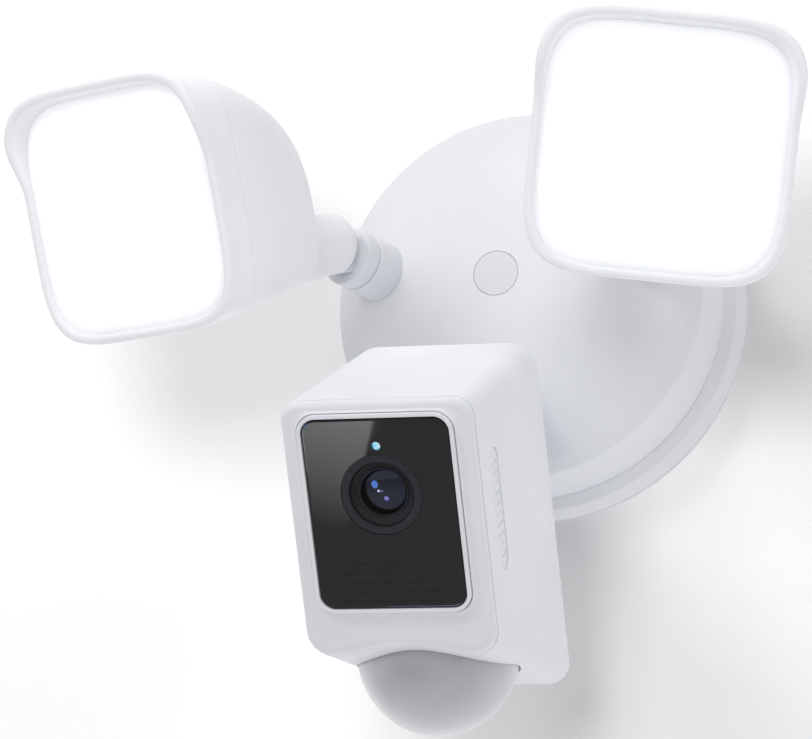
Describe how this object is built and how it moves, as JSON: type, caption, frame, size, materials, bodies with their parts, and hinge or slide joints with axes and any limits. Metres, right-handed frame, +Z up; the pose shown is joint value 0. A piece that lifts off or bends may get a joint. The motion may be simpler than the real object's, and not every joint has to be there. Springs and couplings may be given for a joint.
{
  "type": "floodlight security camera",
  "caption": "Wall light with a round domed base, hooded square lamp heads on swivelling arms, and a boxy camera head with a black window and a motion sensor dome below.",
  "frame": {"origin": "centre of the base, on the wall plane", "axes": "+X to the right seen from in front, +Y into the wall, +Z up"},
  "size_m": [0.2617, 0.195, 0.2341],
  "materials": {
    "white_polycarbonate": "fine matt moulding",
    "white_silicone": "matt",
    "milky_polyethylene": "milky satin",
    "black_acrylic": "polished",
    "black_nylon": "matt",
    "coated_glass": "coated",
    "cyan_light_pipe": "lit",
    "opal_acrylic": "opal, lit",
    "white_circuit_board": "solder resist",
    "extruded_aluminium": "as extruded",
    "black_rubber": "matt",
    "zinc_plated_steel": "bright zinc",
    "green_circuit_board": "solder resist",
    "yellow_winding_tape": "tape",
    "capacitor_sleeve": "shrink sleeve",
    "green_nylon": "moulded"
  },
  "bodies": {
    "base": {"back_plate": "white_polycarbonate", "base_cover": "white_polycarbonate", "bulk_capacitor": "capacitor_sleeve", "camera_arm_socket": "white_polycarbonate", "centre_cap": "white_silicone", "cover_screw_1": "zinc_plated_steel", "cover_screw_2": "zinc_plated_steel", "cover_screw_3": "zinc_plated_steel", "cover_screw_4": "zinc_plated_steel", "cover_seal": "black_rubber", "driver_board": "green_circuit_board", "left_arm_socket": "white_polycarbonate", "mounting_bolt": "zinc_plated_steel", "mounting_bracket": "zinc_plated_steel", "right_arm_socket": "white_polycarbonate", "terminal_block": "green_nylon", "transformer": "yellow_winding_tape", "wall_gasket": "black_rubber", "wire_grommet": "black_rubber"},
    "left_arm": {"left_knuckle": "white_polycarbonate", "left_lock_nut": "zinc_plated_steel", "left_thrust_washer": "black_rubber"},
    "left_lamp": {"left_heat_sink": "extruded_aluminium", "left_lamp_bezel": "white_polycarbonate", "left_lamp_housing": "white_polycarbonate", "left_lamp_lens": "opal_acrylic", "left_led_board": "white_circuit_board", "left_lens_gasket": "black_rubber", "left_tilt_pin": "zinc_plated_steel"},
    "right_arm": {"right_knuckle": "white_polycarbonate", "right_lock_nut": "zinc_plated_steel", "right_thrust_washer": "black_rubber"},
    "right_lamp": {"right_heat_sink": "extruded_aluminium", "right_lamp_bezel": "white_polycarbonate", "right_lamp_housing": "white_polycarbonate", "right_lamp_lens": "opal_acrylic", "right_led_board": "white_circuit_board", "right_lens_gasket": "black_rubber", "right_tilt_pin": "zinc_plated_steel"},
    "camera_arm": {"camera_knuckle": "white_polycarbonate", "camera_lock_nut": "zinc_plated_steel", "camera_thrust_washer": "black_rubber"},
    "camera_head": {"camera_tilt_pin": "zinc_plated_steel", "front_shell": "white_polycarbonate", "lens_barrel": "black_nylon", "lens_glass": "coated_glass", "light_pipe": "cyan_light_pipe", "main_board": "green_circuit_board", "pir_board": "green_circuit_board", "pir_dome": "milky_polyethylene", "rear_shell": "white_polycarbonate", "sensor_board": "green_circuit_board", "side_grille": "white_polycarbonate", "speaker": "black_nylon", "window": "black_acrylic"}
  },
  "joints": [
    {"name": "left_swivel", "type": "hinge", "parent": "base", "child": "left_arm", "pos_m": [-0.054, -0.0751, 0.0109], "axis": [-0.3539, -0.9315, 0.0837], "range_deg": [-40, 40]},
    {"name": "left_tilt", "type": "hinge", "parent": "left_arm", "child": "left_lamp", "pos_m": [-0.054, -0.0751, 0.0109], "axis": [0.93, -0.36, -0.0747], "range_deg": [-45, 10]},
    {"name": "right_swivel", "type": "hinge", "parent": "base", "child": "right_arm", "pos_m": [0.054, -0.0751, 0.0109], "axis": [0.3539, -0.9315, 0.0837], "range_deg": [-40, 40]},
    {"name": "right_tilt", "type": "hinge", "parent": "right_arm", "child": "right_lamp", "pos_m": [0.054, -0.0751, 0.0109], "axis": [0.9327, 0.3448, -0.1059], "range_deg": [-45, 10]},
    {"name": "camera_swivel", "type": "hinge", "parent": "base", "child": "camera_arm", "pos_m": [0, -0.08464, -0.06333], "axis": [0, -0.8763, -0.4817], "range_deg": [-40, 40]},
    {"name": "camera_tilt", "type": "hinge", "parent": "camera_arm", "child": "camera_head", "pos_m": [0, -0.08464, -0.06333], "axis": [0.9974, 0.0344, -0.0627], "range_deg": [-20, 25]}
  ]
}
